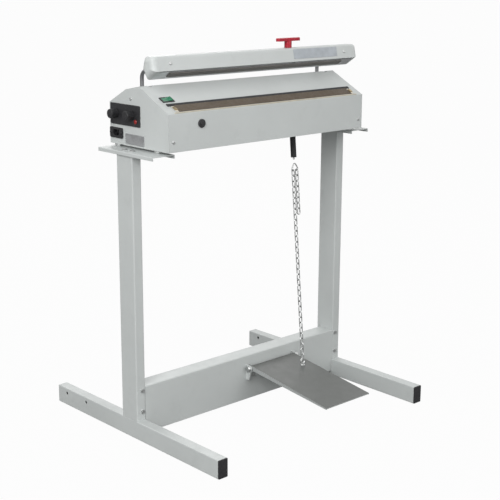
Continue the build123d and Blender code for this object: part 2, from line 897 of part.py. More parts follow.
def press_strip():
    x = seal_length / 2 + press_over
    body = slab((-x, x), (-press_width / 2, press_width / 2), (0, press_t))
    body = fillet(body.edges().filter_by(Axis.X).sort_by(Axis.Z)[:2], press_t * 0.3)
    return in_jaw(body)


def arm_clamps():
    """Blocks on the jaw's bar that grip the arms' ends."""
    low = press_t + jaw_base_t
    depth = (2.0, jaw_half_depth - sheet - 2 * fit)
    block = slab((arm_x - 13, arm_x + 13), depth, (low, low + 22))
    body = in_jaw(block)
    body -= arm_hole()
    return both_sides(body)


def rail_place():
    """(along, out) of the cutter rail in the jaw."""
    middle, normal = top_middle()
    depth = 16
    return (middle[0] - normal[0] * depth, middle[1] - normal[1] * depth)


def cutter_rail():
    y, z = rail_place()
    x = jaw_length / 2 + 3
    return in_jaw(rod_x(rail_r, -x, x, y, z))


def blade_y():
    """The blade runs just inside the cover's front skirt."""
    return -jaw_half_depth + sheet + 1.6


def carriage():
    """Block on the rail with a stem to the knob and a plate down to the blade."""
    rail_y, rail_z = rail_place()
    block = on_top(Box(carriage_length, 13, 14), 0, -14)
    stem = on_top(peg(stem_r, -10, sheet + 3), 0, 0)
    low, high = (press_t + jaw_base_t + 5, rail_z)
    holder_y = blade_y() + blade_t
    plate = slab((-carriage_length / 2, carriage_length / 2), (holder_y, holder_y + 3), (low, high))
    body = block + stem + plate
    body -= rod_x(rail_r + 2 * run_fit, -carriage_length, carriage_length, rail_y, rail_z)
    return in_jaw(Pos(knob_x, 0, 0) * body)


def cutter_blade():
    low = jaw_skirt
    high = press_t + jaw_base_t + 13
    corners = [(-9, low), (0, low - 2), (9, low), (9, high), (-9, high)]
    face = Plane.XZ * make_face(Polyline(*corners, close=True))
    blade = Pos(knob_x, blade_y() + blade_t, 0) * extrude(face, amount=blade_t, dir=(0, -1, 0))
    return in_jaw(blade)


def cutter_knob():
    """T-shaped handle over the slot."""
    clear = 0.6
    boss = peg(boss_r, clear, boss_height)
    wing = Pos(0, 0, boss_height + knob_height / 2) * Box(knob_length, knob_depth, knob_height)
    wing = fillet(wing.edges().filter_by(Axis.Z), knob_depth * 0.45)
    body = boss + wing
    body = fillet(body.edges().group_by(Axis.Z)[-1], knob_height * 0.25)
    body -= peg(stem_r + fit, 0, sheet + 3 + touch)
    return in_jaw(on_top(body, knob_x, 0))


def label_size():
    return (168.0, 26.0)


def jaw_label():
    """Blank plate where a maker would put a name."""
    length, height = label_size()
    plate = Pos(0, 0, plate_t / 2) * Box(length, height, plate_t)
    plate = fillet(plate.edges().filter_by(Axis.Z), 2)
    return in_jaw(front_face(plate, jaw_length / 2 - 150, 0.55))


# ---- arms, shaft and bearings ----
def pivot_shaft():
    reach = half - end_sheet - end_flange - 1
    return rod_x(shaft_r, -reach, reach, pivot_y, pivot_z)


def jaw_arm(side):
    """Bent rod: up out of the hub, then forward into the jaw."""
    low = pivot_z - arm_foot
    path = Wire([
        Line((arm_y, low), (arm_y, arm_level - arm_bend)),
        CenterArc((arm_y - arm_bend, arm_level - arm_bend), arm_bend, 0, 90),
        Line((arm_y - arm_bend, arm_level), (arm_entry_y - arm_inside, arm_level)),
    ])
    section = Pos(0, arm_y, low) * Circle(arm_r)
    return Pos(side * arm_x, 0, 0) * sweep(section, path=Plane.YZ.location * path)


def arm_hub(side):
    """Block that clamps an arm to the shaft, with an ear for the return spring."""
    low = pivot_z - arm_foot - 2
    block = slab((arm_x - hub_width / 2, arm_x + hub_width / 2), (pivot_y, arm_y + arm_r + 5),
                 (low, pivot_z - hub_drop))
    body = rod_x(hub_r, arm_x - hub_width / 2, arm_x + hub_width / 2, pivot_y, pivot_z) + block
    ear = slab((arm_x - 2, arm_x + 2), (arm_y - 6, arm_y + 4), (low - 12, low + 1))
    body += fillet(ear.edges().filter_by(Axis.X).sort_by(Axis.Z)[:2], 3)
    body -= rod_x(shaft_r + fit, arm_x - hub_width, arm_x + hub_width, pivot_y, pivot_z)
    body -= Pos(arm_x, arm_y, pivot_z + 20) * Cylinder(arm_r + fit, 2 * (arm_foot + 20))
    body -= rod_x(spring_wire + 2 * touch, arm_x - 5, arm_x + 5, arm_y, low - 8)
    return body if side > 0 else mirror(body, Plane.YZ)


def spring_span():
    """Z of the two hook centres of a return spring."""
    return (floor_z + 12, pivot_z - arm_foot - 10)


def return_spring(side):
    """Extension spring from the base to the hub's ear, with a loop at each end."""
    low, high = spring_span()
    lead = math.sqrt((spring_loop + 2 * spring_wire + touch) ** 2 - spring_loop ** 2)
    coil_low = low + spring_loop + lead
    coil_high = high - spring_loop - lead
    coil = Helix(pitch=(coil_high - coil_low) / spring_turns, height=coil_high - coil_low, radius=spring_loop)
    section = Plane(origin=coil @ 0, z_dir=coil % 0) * Circle(spring_wire)
    body = Pos(side * arm_x, arm_y, coil_low) * sweep(section, path=coil, is_frenet=True)
    loops = [at(Torus(spring_loop, spring_wire), (side * arm_x, arm_y, z), (0, 1, 0))
             for z in (low + spring_loop, high - spring_loop)]
    return [body] + loops


def spring_anchor():
    """Small upright on the base that the springs hook to."""
    low, _ = spring_span()
    lug = slab((arm_x - 1, arm_x + 1), (arm_y - 7, arm_y + 7), (floor_z + sheet, low + 6))
    foot = slab((arm_x - 1, arm_x + 12), (arm_y - 7, arm_y + 7), (floor_z, floor_z + sheet))
    body = lug + foot - rod_x(spring_wire + 1.5 * touch, arm_x - 5, arm_x + 5, arm_y, low)
    return both_sides(body)


def shaft_bracket(side):
    """Upright bearing plate on the base."""
    foot_y = 34
    outline = face_yz([(pivot_y - foot_y, floor_z), (pivot_y - bracket_r, pivot_z),
                       (pivot_y + bracket_r, pivot_z), (pivot_y + foot_y, floor_z)])
    x = (bracket_x - bracket_t / 2, bracket_x + bracket_t / 2)
    body = prism_x(outline, *x) + rod_x(bracket_r, *x, pivot_y, pivot_z)
    body += slab((bracket_x - 22, bracket_x), (pivot_y - foot_y, pivot_y + foot_y), (floor_z, floor_z + bracket_t))
    body -= rod_x(bush_r, bracket_x - 10, bracket_x + 10, pivot_y, pivot_z)
    return body if side > 0 else mirror(body, Plane.YZ)


def shaft_bushes():
    body = rod_x(bush_r - fit, bracket_x - 4, bracket_x + 4, pivot_y, pivot_z)
    body -= rod_x(shaft_r + run_fit, bracket_x - 10, bracket_x + 10, pivot_y, pivot_z)
    return both_sides(body)


def shaft_collars():
    x_high = bracket_x - 4 - touch
    body = rod_x(collar_r, x_high - collar_width, x_high, pivot_y, pivot_z)
    body -= rod_x(shaft_r + fit, x_high - 20, x_high + 1, pivot_y, pivot_z)
    return both_sides(body)


def crank():
    """Short crank on the shaft; the pull rod's bent end hangs in its hole."""
    x_high = pull_x - rod_r - 3.5
    span = (x_high - crank_t, x_high)
    body = rod_x(crank_boss_r, *span, pivot_y, pivot_z) + rod_x(crank_tip_r, *span, crank_y, crank_z)
    lean = math.radians(jaw_swing / 2)
    side_y = math.sin(lean)
    side_z = math.cos(lean)
    corners = [(pivot_y + side_y * crank_boss_r, pivot_z + side_z * crank_boss_r),
               (crank_y + side_y * crank_tip_r, crank_z + side_z * crank_tip_r),
               (crank_y - side_y * crank_tip_r, crank_z - side_z * crank_tip_r),
               (pivot_y - side_y * crank_boss_r, pivot_z - side_z * crank_boss_r)]
    body += prism_x(face_yz(corners), *span)
    body -= rod_x(shaft_r + fit, pull_x - 40, pull_x + 10, pivot_y, pivot_z)
    return body - rod_x(crank_hole_r, pull_x - 40, pull_x + 10, crank_y, crank_z)


# ---- pull line ----
def line_direction():
    size = math.hypot(1, pull_lean)
    return (0, pull_lean / size, 1 / size)


def rod_top():
    """Z of the rod's bent end, which bears on the lower side of the crank's hole."""
    return crank_z - (crank_hole_r - rod_r - crank_slack)


def line_point(x, z):
    return (x, line_y(z), z)


def low_eye_z():
    return sleeve_bottom - low_eye_r - 2 * eye_wire_r - 3


def pull_rod():
    """Steel rod, bent into the crank at the top, with an eye at its lower end."""
    length = (rod_top() - low_eye_z() - low_eye_r - eye_wire_r * 0.6) / line_direction()[2]
    path = Wire([
        Line((0, -length), (0, -rod_bend)),
        CenterArc((rod_bend, -rod_bend), rod_bend, 180, -90),
        Line((rod_bend, 0), (rod_reach, 0)),
    ])
    direction = line_direction()
    frame = Plane(origin=line_point(pull_x, rod_top()), x_dir=(-1, 0, 0), z_dir=(0, direction[2], -direction[1]))
    start = frame.location * Pos(0, -length, 0) * Rot(90, 0, 0) * Circle(rod_r)
    body = sweep(start, path=frame.location * path)
    return body + ring(low_eye_r, eye_wire_r, line_point(pull_x, low_eye_z()), (1, 0, 0))


def rod_washer():
    """Push-on washer that keeps the rod in the crank."""
    end = pull_x - rod_reach
    body = rod_x(rod_r + 3, end + 0.5, end + 2.5, line_y(rod_top()), rod_top())
    return body - rod_x(rod_r + fit, end - 1, end + 4, line_y(rod_top()), rod_top())


def rod_sleeve():
    """Black rubber sleeve on the rod."""
    body = rod_between(line_point(pull_x, sleeve_bottom), line_point(pull_x, sleeve_top), sleeve_r)
    core = rod_between(line_point(pull_x, sleeve_bottom - 5), line_point(pull_x, sleeve_top + 5), rod_r + fit)
    return body - core


def delta_top():
    """Z of the delta ring's upper wire, which hangs in the rod's lower eye."""
    return low_eye_z() - low_eye_r + delta_wire_r + link_gap


def delta_bar():
    """Z of the delta ring's level bar."""
    half_bar = (tail_x - chain_x) / 2 + delta_margin
    half_apex = math.atan(half_bar / delta_height)
    apex_cut = delta_bend / math.sin(half_apex) - delta_bend
    return delta_top() - (delta_height - apex_cut) * line_direction()[2]


def delta_ring():
    """Three-sided wire ring: narrow at the rod, a level bar for the chain below."""
    half_bar = (tail_x - chain_x) / 2 + delta_margin
    middle = (tail_x + chain_x) / 2
    path = FilletPolyline((-half_bar, 0), (half_bar, 0), (0, delta_height), radius=delta_bend, close=True)
    upright = Plane(origin=line_point(middle, delta_bar()), x_dir=(1, 0, 0), z_dir=cross_line())
    section = Plane(origin=line_point(middle, delta_bar()), z_dir=(1, 0, 0)) * Circle(delta_wire_r)
    return sweep(section, path=upright.location * path.wire())


def cross_line():
    """Direction square to X and to the pull line, towards the front."""
    direction = line_direction()
    return (0, -direction[2], direction[1])


def chain_span():
    """Z of the delta's bar and of the anchor eye's upper wire."""
    direction = line_direction()
    return delta_bar(), anchor_z + (anchor_eye_r + anchor_wire_r) * direction[2]


def make_links(x, count, pitch, start_z):
    """Links down the pull line, each turned a quarter from the last."""
    body = []
    direction = line_direction()
    inner = pitch + link_gap
    one = link(inner, link_inner_width, link_wire)
    for i in range(count):
        drop = inner / 2 - delta_wire_r - link_gap + pitch * i
        facing = (1, 0, 0) if i % 2 else cross_line()
        body.append(at(one, line_point(x, start_z - drop * direction[2]), direction, facing))
    return body


def chain_pitch():
    """Pitch that lets an odd number of links reach from the bar to the anchor eye."""
    start, end = chain_span()
    length = (start - end) / line_direction()[2]
    return (length + delta_wire_r + anchor_wire_r + anchor_slack) / links


def pull_chain():
    return make_links(chain_x, links, chain_pitch(), chain_span()[0])


def chain_tail():
    return make_links(tail_x, tail_links, chain_pitch(), chain_span()[0])


# ---- pedal ----
def pedal_frame():
    """Plane through the hinge: X along the hinge, Y up the plate to the rear, Z out of the plate."""
    turn = math.radians(pedal_tilt)
    return Plane(origin=(pedal_x, hinge_y, hinge_z), x_dir=(1, 0, 0),
                 z_dir=(0, -math.sin(turn), math.cos(turn)))


def pedal():
    x = pedal_width / 2
    top = pedal_rise
    low = top - pedal_t
    plate = slab((-x, x), (-pedal_length, 0), (low, top))
    body = plate
    for side in (1, -1):
        wall = sorted((side * x, side * (x - pedal_t)))
        lip_side = face_yz([(-pedal_length, top), (0, top), (0, low - pedal_lip),
                            (-pedal_length, low - pedal_lip_front)])
        lip = prism_x(lip_side, *wall)
        ear = rod_x(pedal_ear_r, *wall, 0, 0) & slab(wall, (-pedal_ear_r, pedal_ear_r), (-pedal_ear_r, top))
        body += lip + ear
    for side in (1, -1):
        wall = sorted((side * (x + 1), side * (x - pedal_t - 1)))
        body -= rod_x(hinge_r + run_fit, *wall, 0, 0)
    body = pedal_frame().location * body
    return body - Pos(chain_x, anchor_y, anchor_z) * Cylinder(anchor_stem_r + fit, 60)


def plate_top_z(y):
    """Height of the plate's upper face above the floor at y."""
    turn = math.radians(pedal_tilt)
    return hinge_z + pedal_rise / math.cos(turn) - (hinge_y - y) * math.tan(turn)


def anchor_eye():
    """Eye bolt through the pedal."""
    body = ring(anchor_eye_r, anchor_wire_r, (chain_x, anchor_y, anchor_z), cross_line())
    stem_top = anchor_z - anchor_eye_r - anchor_wire_r
    low = plate_top_z(anchor_y) - pedal_t - 8
    return body + Pos(chain_x, anchor_y, (stem_top + low) / 2) * Cylinder(anchor_stem_r, stem_top - low)


def anchor_nuts():
    """Washer above the plate and nut below it, both square to the plate."""
    turn = math.radians(pedal_tilt)
    seat = plate_top_z(anchor_y)
    under = seat - pedal_t / math.cos(turn)
    bore = Pos(chain_x, anchor_y, seat) * Cylinder(anchor_stem_r + fit, 60)
    up = (0, -math.sin(turn), math.cos(turn))
    down = (0, math.sin(turn), -math.cos(turn))
    washer = at(peg(anchor_stem_r * 2, 0, 1.2), (chain_x, anchor_y, seat), up) - bore
    nut_blank = extrude(RegularPolygon(anchor_stem_r * 1.85, 6), amount=4)
    return [washer, at(nut_blank, (chain_x, anchor_y, under), down) - bore]


def bracket_places():
    """Middles of the two hinge ears along X."""
    x = pedal_width / 2 + ear_gap + ear_t / 2
    return (pedal_x - x, pedal_x + x)


def bracket_screw_places():
    """X and Z of the four screws that hold the hinge brackets to the beam."""
    low_x, high_x = bracket_places()
    z = hinge_z - ear_drop + bracket_foot_height / 2
    reaches = [ear_t / 2 + bracket_foot * share for share in (0.25, 0.75)]
    return [(low_x + reach, z) for reach in reaches] + [(high_x - reach, z) for reach in reaches]


def hinge_bracket(x, side):
    """Ear for the pedal's hinge, with a foot under the pedal screwed to the beam's front face."""
    ear_x = (x - ear_t / 2, x + ear_t / 2)
    low = hinge_z - ear_drop
    ear = rod_x(ear_r, *ear_x, hinge_y, hinge_z)
    ear += slab(ear_x, (hinge_y, beam_front), (low, hinge_z + ear_r))
    ear += prism_x(face_yz([(hinge_y - ear_r, hinge_z), (hinge_y, hinge_z), (hinge_y, low)]), *ear_x)
    foot_x = sorted((x, x - side * (ear_t / 2 + bracket_foot)))
    foot = slab(foot_x, (beam_front - bracket_sheet, beam_front), (low, low + bracket_foot_height))
    body = ear + foot
    for screw_x, z in bracket_screw_places():
        body -= at(peg(screw_r * 1.5 + fit, -8, 8), (screw_x, beam_front, z), (0, -1, 0))
    return body - rod_x(hinge_r + fit, x - ear_t, x + ear_t, hinge_y, hinge_z)


def bracket_screws():
    length = bracket_sheet + beam_sheet
    return [at(pan_screw(screw_r * 1.5, length), (x, beam_front - bracket_sheet, z), (0, -1, 0), (1, 0, 0))
            for x, z in bracket_screw_places()]


def hinge_rod():
    x_low, x_high = bracket_places()
    reach = ear_t / 2 + 5
    return rod_x(hinge_r, x_low - reach, x_high + reach, hinge_y, hinge_z)


def hinge_caps():
    """Round push-on caps that keep the rod in its ears."""
    caps = []
    for x, side in zip(bracket_places(), (-1, 1)):
        cap = peg(hinge_r + 4, 0, 7)
        cap = fillet(cap.edges().sort_by(Axis.Z)[-1], 2.5)
        cap -= peg(hinge_r + fit, -1, 5 + touch)
        caps.append(at(cap, (x + side * ear_t / 2, hinge_y, hinge_z), (side, 0, 0)))
    return caps


# ---- controls and electrics ----
def control_panel():
    y = (post_y - panel_front, post_y + panel_rear)
    z = (housing_bottom + panel_low, housing_bottom + panel_high)
    body = slab((-half - panel_t, -half), y, z)
    body = fillet(body.edges().filter_by(Axis.X), 3)
    body = chamfer(body.faces().sort_by(Axis.X)[0].edges(), 0.6)
    for y_hole, z_hole, radius in panel_holes():
        body -= rod_x(radius, -half - panel_t - 1, -half + 1, y_hole, z_hole)
    return body


def timer_knob(y):
    """Knob with its spindle, which turns in the dial's body."""
    face = -half - panel_t - 0.8
    body = peg(knob_r, 0, timer_knob_length)
    body = fillet(body.edges().sort_by(Axis.Z)[-1], 1.6)
    for i in range(18):
        groove = Pos(knob_r + 0.3, 0, timer_knob_length / 2 + 3) * Cylinder(0.9, timer_knob_length)
        body -= Rot(0, 0, 20 * i) * groove
    pointer = Pos(0, knob_r / 2 + 2, timer_knob_length) * Box(1.4, knob_r, 1.2)
    body -= pointer
    knob = at(body, (face, y, housing_bottom + knob_z), (-1, 0, 0), (0, 1, 0))
    return knob + rod_x(spindle_r, face - 3, -half + end_sheet + 7, y, housing_bottom + knob_z)


def dials():
    """Potentiometer bodies behind the end plate."""
    inner = -half + end_sheet
    out = []
    for place in knob_places:
        y = post_y + place
        z = housing_bottom + knob_z
        body = rod_x(9, inner, inner + 9, y, z) - rod_x(spindle_r + run_fit, inner - 1, inner + 7.5, y, z)
        out.append(body)
    return out


def pilot_lamp():
    y, z = lamp_place()
    dome = peg(5.5, 0, 2.5)
    dome = fillet(dome.edges().sort_by(Axis.Z)[-1], 1.8)
    body = at(dome, (-half - panel_t, y, z), (-1, 0, 0))
    return body + rod_x(4.0, -half - panel_t, -half + end_sheet + 6, y, z)


def timer_board():
    x = -half + end_sheet + 9
    y = (post_y - 12, post_y + rear_reach - 14)
    z = (housing_bottom + 50, housing_bottom + rear_rise - 16)
    return slab((x, x + 1.6), y, z)


def board_parts():
    """Relay and capacitors on the inner side of the board."""
    x = -half + end_sheet + 9 + 1.6
    z = housing_bottom + 62
    relay = slab((x, x + 9), (post_y + 60, post_y + 84), (z, z + 12))
    parts = [relay]
    for i in range(3):
        parts.append(rod_x(4, x, x + 9, post_y + 34 + 10 * i, z + 4))
    return parts


def power_inlet():
    y = post_y + inlet_place[0]
    z = housing_bottom + inlet_place[1]
    width, height = inlet_size
    flange = Pos(-half - 1.5, y, z) * Box(3, width, height)
    flange = fillet(flange.edges().filter_by(Axis.X), 4)
    body = Pos(-half + 12, y, z) * Box(24, width * 0.58, height * 0.8)
    well = Pos(-half + 7, y, z) * Box(22, 24, 16)
    well = chamfer(well.edges().filter_by(Axis.X).sort_by(Axis.Z)[:2], 4)
    shape = flange + body - well
    for side in (1, -1):
        shape -= rod_x(screw_r + fit, -half - 4, -half + 1, y + side * width * 0.4, z)
    return shape


def inlet_pins():
    y = post_y + inlet_place[0]
    z = housing_bottom + inlet_place[1]
    places = ((-7, -2), (7, -2), (0, 2))
    end = -half + 18
    return [slab((end - 16, end), (y + dy - 1, y + dy + 1), (z + dz - 2.5, z + dz + 2.5)) for dy, dz in places]


def inlet_screws():
    y = post_y + inlet_place[0]
    z = housing_bottom + inlet_place[1]
    reach = inlet_size[0] * 0.4
    return [at(pan_screw(screw_r, 3), (-half - 3, y + side * reach, z), (-1, 0, 0), (0, 1, 0)) for side in (1, -1)]


def rating_plate():
    y = post_y + plate_place[0]
    z = housing_bottom + plate_place[1]
    plate = Pos(-half - plate_t / 2, y, z) * Box(plate_t, *plate_size)
    return fillet(plate.edges().filter_by(Axis.X), 2)


def switch_well():
    """Length and width of the opening that the rocker sits in."""
    cut = 2 * (switch_rim + touch + switch_wall)
    return (switch_size[0] - cut, switch_size[1] - cut)


def switch_bezel():
    width, height = switch_size
    lap = 2 * (switch_rim + touch)
    well_width, well_height = switch_well()
    rim = Pos(0, 0, 1.25) * Box(width, height, 2.5)
    rim = chamfer(rim.faces().sort_by(Axis.Z)[-1].edges(), 1.0)
    body = Pos(0, 0, -9) * Box(width - lap, height - lap, 20)
    well = Box(well_width, well_height, 28)
    floor = Pos(0, 0, -18.5) * Box(well_width + 1, well_height + 1, 1.5)
    shape = rim + body - well + floor
    shape -= Pos(0, 0, -rocker_pin_depth) * Rot(90, 0, 0) * Cylinder(rocker_pin_r + run_fit, height)
    return on_slope(shape, -half + switch_inset, switch_up, 0)


def rocker():
    """Rocker on a cross pin, resting with one side down."""
    well_width, well_height = switch_well()
    long = well_width / 2 - 0.8
    side = well_height - 0.8
    outline = [(-long, 3.4), (0, 2.2), (long, 3.4), (long - 1, -3), (3, -8), (-3, -8), (-long + 1, -3)]
    face = Plane.XZ * make_face(Polyline(*outline, close=True))
    body = Pos(0, side / 2, 0) * extrude(face, amount=side, dir=(0, -1, 0))
    body += Pos(0, 0, -rocker_pin_depth) * Rot(90, 0, 0) * Cylinder(rocker_pin_r, well_height + switch_wall)
    tipped = Pos(0, 0, -rocker_pin_depth) * Rot(0, -rocker_tip, 0) * Pos(0, 0, rocker_pin_depth) * body
    return on_slope(tipped, -half + switch_inset, switch_up, 0)


def button_bezel():
    origin = (-half + button_inset, front_y, housing_bottom + button_z)
    rim = peg(button_r, 0, 4)
    rim = fillet(rim.edges().sort_by(Axis.Z)[-1], 1.5)
    body = rim + peg(button_r - 3 - touch, -16, 0)
    body -= peg(button_r - 4.2, -13, 5)
    return at(body, origin, (0, -1, 0))


def button_cap():
    origin = (-half + button_inset, front_y, housing_bottom + button_z)
    cap = peg(button_r - 4.2 - touch, -9.7, 5.5)
    cap = fillet(cap.edges().sort_by(Axis.Z)[-1], 1.2)
    return at(cap, origin, (0, -1, 0))


def transformer_core():
    x = (-235, -135)
    y = (post_y - 55, post_y + 35)
    z = (floor_z, floor_z + 62)
    core = slab(x, y, z)
    for side in (1, -1):
        middle = (x[0] + x[1]) / 2 + side * 24
        core -= slab((middle - 12, middle + 12), (y[0] - 1, y[1] + 1), (z[0] + 12, z[1] - 12))
    return core


def transformer_coil():
    """Winding around the core's middle leg."""
    middle = -185
    y = (post_y - 67, post_y + 47)
    z = (floor_z + 12 + touch, floor_z + 50 - touch)
    coil = slab((middle - 35, middle + 35), y, z)
    leg = slab((middle - 12 - touch, middle + 12 + touch), (post_y - 55 - touch, post_y + 35 + touch),
               (z[0] - 1, z[1] + 1))
    return fillet(coil.edges().filter_by(Axis.Z), 8) - leg


def terminal_block():
    x = -110
    block = slab((x, x + 48), (post_y + 40, post_y + 62), (floor_z, floor_z + 18))
    for i in range(6):
        block -= Pos(x + 4 + 8 * i, post_y + 45, floor_z + 18) * Cylinder(2.2, 12)
    return block


def micro_switch():
    """Switch on the right bracket that the crank side's collar trips when the jaw closes."""
    x = bracket_x - bracket_t / 2
    return slab((x - 10, x), (pivot_y - 14, pivot_y + 14), (pivot_z - 45, pivot_z - 27))


NODES = {
    "foot_left": [mirror(foot_tube(), Plane.YZ)],
    "foot_right": [foot_tube()],
    "foot_caps": both_sides(foot_cap()) + both_sides(foot_rear_plug()),
    "post_left": [mirror(post(), Plane.YZ)],
    "post_right": [post()],
    "crossbeam": [crossbeam()],
    "frame_bolts": foot_bolts() + beam_bolts() + channel_bolts() + spacer_bolts() + bracket_screws(),
    "top_channels": both_sides(top_channel()),
    "housing_spacers": spacers(),
    "base_plate": [base_plate()],
    "front_cover": [front_cover()],
    "rear_cover": [rear_cover()],
    "end_panel_left": [end_panel(-1)],
    "end_panel_right": [end_panel(1)],
    "cover_screws": cover_screws() + end_screws(),
    "seal_bar": [seal_bar()],
    "bar_supports": bar_supports(),
    "insulation_strip": [insulation_strip()],
    "heating_element": [heating_element()],
    "tape_cover": [tape_cover()],
    "element_clamps": element_clamps(),
    "edge_strip": [edge_strip()],
    "rest_strip": [rest_strip()],
    "jaw_cover": [jaw_cover()],
    "jaw_ends": [jaw_end_cap(-1), jaw_end_cap(1)],
    "jaw_base": [jaw_base()] + arm_clamps(),
    "press_strip": [press_strip()],
    "jaw_screws": jaw_screws(),
    "jaw_label": [jaw_label()],
    "jaw_arms": [jaw_arm(-1), jaw_arm(1)],
    "arm_hubs": [arm_hub(-1), arm_hub(1)],
    "pivot_shaft": [pivot_shaft()] + shaft_collars(),
    "shaft_brackets": [shaft_bracket(-1), shaft_bracket(1)] + shaft_bushes(),
    "crank": [crank()],
    "return_springs": return_spring(-1) + return_spring(1),
    "spring_anchors": spring_anchor(),
    "cutter_rail": [cutter_rail()],
    "cutter_carriage": [carriage(), cutter_blade()],
    "cutter_knob": [cutter_knob()],
    "pull_rod": [pull_rod(), rod_washer(), delta_ring()],
    "rod_sleeve": [rod_sleeve()],
    "pull_chain": pull_chain() + chain_tail(),
    "pedal": [pedal()],
    "anchor_eye": [anchor_eye()] + anchor_nuts(),
    "hinge_brackets": [hinge_bracket(x, side) for x, side in zip(bracket_places(), (-1, 1))],
    "hinge_rod": [hinge_rod()] + hinge_caps(),
    "control_panel": [control_panel()],
    "seal_time_knob": [timer_knob(post_y + knob_places[0])],
    "cool_time_knob": [timer_knob(post_y + knob_places[1])],
    "pilot_lamp": [pilot_lamp()],
    "timer_board": [timer_board()] + dials() + board_parts(),
    "power_inlet": [power_inlet()] + inlet_pins() + inlet_screws(),
    "rating_plate": [rating_plate()],
    "switch_bezel": [switch_bezel()],
    "switch_rocker": [rocker()],
    "button_bezel": [button_bezel()],
    "button_cap": [button_cap()],
    "transformer": [transformer_core(), transformer_coil()],
    "terminal_block": [terminal_block()],
    "micro_switch": [micro_switch()],
}

os.makedirs("parts", exist_ok=True)
for name, pieces in NODES.items():
    solids = [solid for piece in pieces for solid in piece.solids()]
    shape = solids[0] if len(solids) == 1 else Compound(children=solids)
    export_step(shape, f"parts/{name}.step")
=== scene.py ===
import json
import math

import bpy
from mathutils import Euler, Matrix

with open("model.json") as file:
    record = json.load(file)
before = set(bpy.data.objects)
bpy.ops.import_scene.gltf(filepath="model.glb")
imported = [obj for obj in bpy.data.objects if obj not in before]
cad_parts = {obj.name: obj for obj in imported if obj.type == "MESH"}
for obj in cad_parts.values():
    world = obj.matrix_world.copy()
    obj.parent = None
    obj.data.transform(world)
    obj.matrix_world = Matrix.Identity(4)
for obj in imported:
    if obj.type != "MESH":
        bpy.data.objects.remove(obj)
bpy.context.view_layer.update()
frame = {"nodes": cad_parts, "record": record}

NODES = frame["nodes"]

# ---- camera: metres, degrees and millimetres ----
CAMERA_PLACE = (-2.0705, -2.2863, 1.2252)
CAMERA_YAW = 42.65
CAMERA_PITCH = 14.10
CAMERA_ROLL = 0.28
CAMERA_LENS = 81.97
CAMERA_SENSOR = 36.0

# ---- stage: metres and watts ----
FLOOR_REACH = 200.0
FLOOR_COLOUR = (0.30, 0.30, 0.30)
FLOOR_WHITE_SHARE = 0.97   # of what the camera sees; the rest keeps the shadow
WORLD_LEVEL = 0.50
LAMP_AIM = (0.0, 0.0, 0.65)
LAMPS = [
    ("key", (-3.2, -1.8, 2.6), 2.6, 118.0),
    ("front", (0.8, -3.6, 2.0), 2.8, 34.0),
    ("back", (1.8, 2.8, 2.6), 2.4, 34.0),
]

# ---- finishes: linear base colours by record slot ----
GREY = (0.545, 0.570, 0.562)
PEDAL_GREY = (0.122, 0.128, 0.122)
ZINC = (0.600, 0.610, 0.605)


